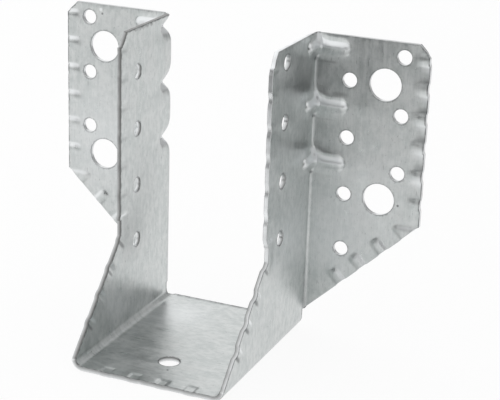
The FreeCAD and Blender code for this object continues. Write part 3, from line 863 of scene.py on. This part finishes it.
def galvanisedSteel():
    material = bpy.data.materials.new("galvanisedSteel")
    material.use_nodes = True
    nodes, links = material.node_tree.nodes, material.node_tree.links
    shader = nodes["Principled BSDF"]
    shader.inputs["Metallic"].default_value = steel["metallic"]

    def attribute(name, output):
        node = nodes.new("ShaderNodeAttribute")
        node.attribute_name = name
        return node.outputs[output]

    def grainOf(name):
        stretch, detail, rough = steel["grain"][name]
        place = nodes.new("ShaderNodeMapping")
        place.inputs["Scale"].default_value = stretch
        links.new(attribute("blankPlace", "Vector"), place.inputs["Vector"])
        node = nodes.new("ShaderNodeTexNoise")
        node.inputs["Scale"].default_value = 1.0
        node.inputs["Detail"].default_value = detail
        node.inputs["Roughness"].default_value = rough
        links.new(place.outputs["Vector"], node.inputs["Vector"])
        return node.outputs["Fac"]

    def mapRange(value, low, high, toLow, toHigh):
        node = nodes.new("ShaderNodeMapRange")
        node.interpolation_type = "SMOOTHSTEP"
        for name, number in (("From Min", low), ("From Max", high), ("To Min", toLow), ("To Max", toHigh)):
            node.inputs[name].default_value = number
        links.new(value, node.inputs["Value"])
        return node.outputs["Result"]

    def share(value, name):
        return mapRange(value, *steel[name])

    def combine(operation, a, b):
        node = nodes.new("ShaderNodeMath")
        node.operation = operation
        for i, value in enumerate((a, b)):
            if isinstance(value, (int, float)):
                node.inputs[i].default_value = value
            else:
                links.new(value, node.inputs[i])
        return node.outputs[0]

    def mixColour(factor, a, b):
        node = nodes.new("ShaderNodeMix")
        node.data_type = "RGBA"
        links.new(factor, node.inputs["Factor"])
        for name, value in (("A", a), ("B", b)):
            socket = next(i for i in node.inputs if i.name == name and i.type == "RGBA")
            if isinstance(value, tuple):
                socket.default_value = (*value, 1.0)
            else:
                links.new(value, socket)
        return next(o for o in node.outputs if o.type == "RGBA")

    grain = {name: grainOf(name) for name in steel["grain"]}

    def blend(shares):
        parts = [combine("MULTIPLY", grain[name], amount) for name, amount in shares.items()]
        total = parts[0]
        for part in parts[1:]:
            total = combine("ADD", total, part)
        return total

    # Rolling streaks run along s. The zinc is mottled in soft patches over them, with darker
    # flecks and a few short dashes.
    base = mixColour(share(blend(steel["toneShares"]), "tone"), steel["dark"], steel["light"])
    for name in ("flecks", "dashes"):
        base = mixColour(share(grain[name], name), base, steel["fleck"])

    # Crests of gussets and crimps take a painted highlight, weaker below a gusset's crest.
    pressed = attribute("pressed", "Fac")
    base = mixColour(share(pressed, "pressed"), base, steel["highlightAndMarkWhite"])
    # Painted highlight and painted shade around gussets, folds and crimps, and in soft patches.
    paintedLightAndShade = attribute("paintedLightAndShade", "Fac")
    base = mixColour(share(paintedLightAndShade, "highlightShare"), base, steel["highlightAndMarkWhite"])
    base = mixColour(share(paintedLightAndShade, "shadeShare"), base, steel["line"])
    for markS, markDepth, size, amount in paintedLightAndMarks["marks"]:
        away = nodes.new("ShaderNodeVectorMath")
        away.operation = "DISTANCE"
        links.new(attribute("blankPlace", "Vector"), away.inputs[0])
        away.inputs[1].default_value = (markS, markDepth, 0.0)
        colour = steel["highlightAndMarkWhite" if amount > 0 else "line"]
        spot = mapRange(away.outputs["Value"], size, steel["markCore"] * size, 0.0, abs(amount))
        base = mixColour(spot, base, colour)

    # Cut edges are bare, with painted shade and highlight edge by edge, and a broken dark line of painted
    # shade beside them.
    line = combine("MULTIPLY", attribute("edgeLine", "Fac"), share(grain["brokenLine"], "broken"))
    base = mixColour(line, base, steel["line"])
    bare = combine("MULTIPLY", attribute("cutBright", "Fac"), share(grain["wornEdge"], "worn"))
    cut = mixColour(bare, steel["cut"], steel["cutBright"])
    base = mixColour(attribute("cutEdge", "Fac"), base, cut)
    links.new(base, shader.inputs["Base Color"])

    rough = combine("ADD", share(blend(steel["roughShares"]), "rough"), share(pressed, "crestHighlightRough"))
    links.new(rough, shader.inputs["Roughness"])

    bump = nodes.new("ShaderNodeBump")
    bump.inputs["Strength"].default_value, bump.inputs["Distance"].default_value = steel["bump"]
    links.new(blend(steel["bumpShares"]), bump.inputs["Height"])
    links.new(bump.outputs["Normal"], shader.inputs["Normal"])
    print("galvanised steel mixed")
    return material


studio = {
    "azimuth": 22.738,
    "elevation": 19.285,
    "roll": 1.97,
    "aim": (17.447, -30.0, 54.223),
    "distance": 494.6,
    "focalPixels": 1498.9,
    "imageWidth": 500,
    "sensor": 36.0,
    "nearest": 0.01,
    "worldLevel": 0.9,
    "floorReach": 3.0,
    "floorColour": (0.9, 0.9, 0.9, 1),
    "floorGlow": 1.02,
    "floorShare": 0.9,        # how much of the floor glows, and the rest takes the shadow
    # Cards that the steel mirrors: centre, width and height, the point they face, and their grey.
    "cards": {
        "cardRight": ((0.38, 0.30, 0.30), (1.5, 0.6), (0.0, 0.05, 0.10), 0.6),
        "cardFront": ((0.13, -0.24, 0.11), (0.18, 0.23), (0.03, 0.0, 0.07), 0.04),
        "cardLow": ((-0.075, -0.255, 0.05), (0.12, 0.12), (0.04, 0.0, 0.09), 0.04),
    },
}


def setCamera():
    azimuth, elevation, roll = (math.radians(studio[name]) for name in ("azimuth", "elevation", "roll"))
    back = Vector((math.sin(azimuth) * math.cos(elevation), -math.cos(azimuth) * math.cos(elevation),
                   math.sin(elevation)))
    right = Vector((math.cos(azimuth), math.sin(azimuth), 0))
    up = back.cross(right)
    turnedRight = right * math.cos(roll) + up * math.sin(roll)
    turnedUp = up * math.cos(roll) - right * math.sin(roll)
    place = (Vector(studio["aim"]) + Vector(standing) + back * studio["distance"]) * toMetres
    data = bpy.data.cameras.new("camera")
    data.sensor_width = studio["sensor"]
    data.lens = studio["focalPixels"] * studio["sensor"] / studio["imageWidth"]
    data.clip_start = studio["nearest"]
    camera = bpy.data.objects.new("camera", data)
    turn = Matrix((turnedRight, turnedUp, back)).transposed()
    camera.matrix_world = Matrix.Translation(place) @ turn.to_4x4()
    bpy.context.scene.collection.objects.link(camera)
    bpy.context.scene.camera = camera
    print("camera set")


# A flat rectangle that lies in its own x and y.
def addPlane(name, width, height):
    wide, high = width / 2, height / 2
    mesh = bpy.data.meshes.new(name)
    corners = [(-wide, -high, 0), (wide, -high, 0), (wide, high, 0), (-wide, high, 0)]
    mesh.from_pydata(corners, [], [(0, 1, 2, 3)])
    plane = bpy.data.objects.new(name, mesh)
    bpy.context.scene.collection.objects.link(plane)
    return plane


def addMaterial(name, mesh):
    material = bpy.data.materials.new(name)
    material.use_nodes = True
    nodes, links = material.node_tree.nodes, material.node_tree.links
    nodes.clear()
    mesh.materials.append(material)
    return nodes, links, nodes.new("ShaderNodeOutputMaterial").inputs["Surface"]


def addCard(name, centre, size, facing, grey):
    card = addPlane(name, *size)
    card.location = centre
    card.rotation_euler = (Vector(facing) - Vector(centre)).to_track_quat("Z", "Y").to_euler()
    nodes, links, surface = addMaterial(name, card.data)
    shader = nodes.new("ShaderNodeBsdfDiffuse")
    shader.inputs["Color"].default_value = (grey, grey, grey, 1)
    links.new(shader.outputs[0], surface)
    card.visible_camera = False


# 1 for rays that show the background: straight from the camera, in gloss and through glass.
def seenWhite(nodes, links):
    path = nodes.new("ShaderNodeLightPath")
    total = path.outputs["Is Camera Ray"]
    for name in ("Is Glossy Ray", "Is Transmission Ray"):
        node = nodes.new("ShaderNodeMath")
        node.operation = "MAXIMUM"
        links.new(total, node.inputs[0])
        links.new(path.outputs[name], node.inputs[1])
        total = node.outputs[0]
    return total


def setStudio():
    scene = bpy.context.scene
    scene.view_settings.view_transform = "Standard"
    world = bpy.data.worlds.new("studio")
    scene.world = world
    world.use_nodes = True
    nodes, links = world.node_tree.nodes, world.node_tree.links
    background = nodes["Background"]
    background.inputs["Color"].default_value = (1, 1, 1, 1)
    level = nodes.new("ShaderNodeMapRange")
    level.inputs["To Min"].default_value = studio["worldLevel"]
    level.inputs["To Max"].default_value = 1.0
    links.new(seenWhite(nodes, links), level.inputs["Value"])
    links.new(level.outputs["Result"], background.inputs["Strength"])

    floor = addPlane("floor", 2 * studio["floorReach"], 2 * studio["floorReach"])
    nodes, links, surface = addMaterial("paper", floor.data)
    paper = nodes.new("ShaderNodeBsdfDiffuse")
    paper.inputs["Color"].default_value = studio["floorColour"]
    glow = nodes.new("ShaderNodeEmission")
    glow.inputs["Color"].default_value = (1, 1, 1, 1)
    glow.inputs["Strength"].default_value = studio["floorGlow"]
    share = nodes.new("ShaderNodeMath")
    share.operation = "MULTIPLY"
    links.new(seenWhite(nodes, links), share.inputs[0])
    share.inputs[1].default_value = studio["floorShare"]
    mix = nodes.new("ShaderNodeMixShader")
    for i, output in enumerate((share, paper, glow)):
        links.new(output.outputs[0], mix.inputs[i])
    links.new(mix.outputs[0], surface)
    for name, card in studio["cards"].items():
        addCard(name, *card)
    print("studio set")


sheet = foldHanger()
sheet.data.materials.append(galvanisedSteel())
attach(sheet, "root")
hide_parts("joist_hanger")
setStudio()
setCamera()
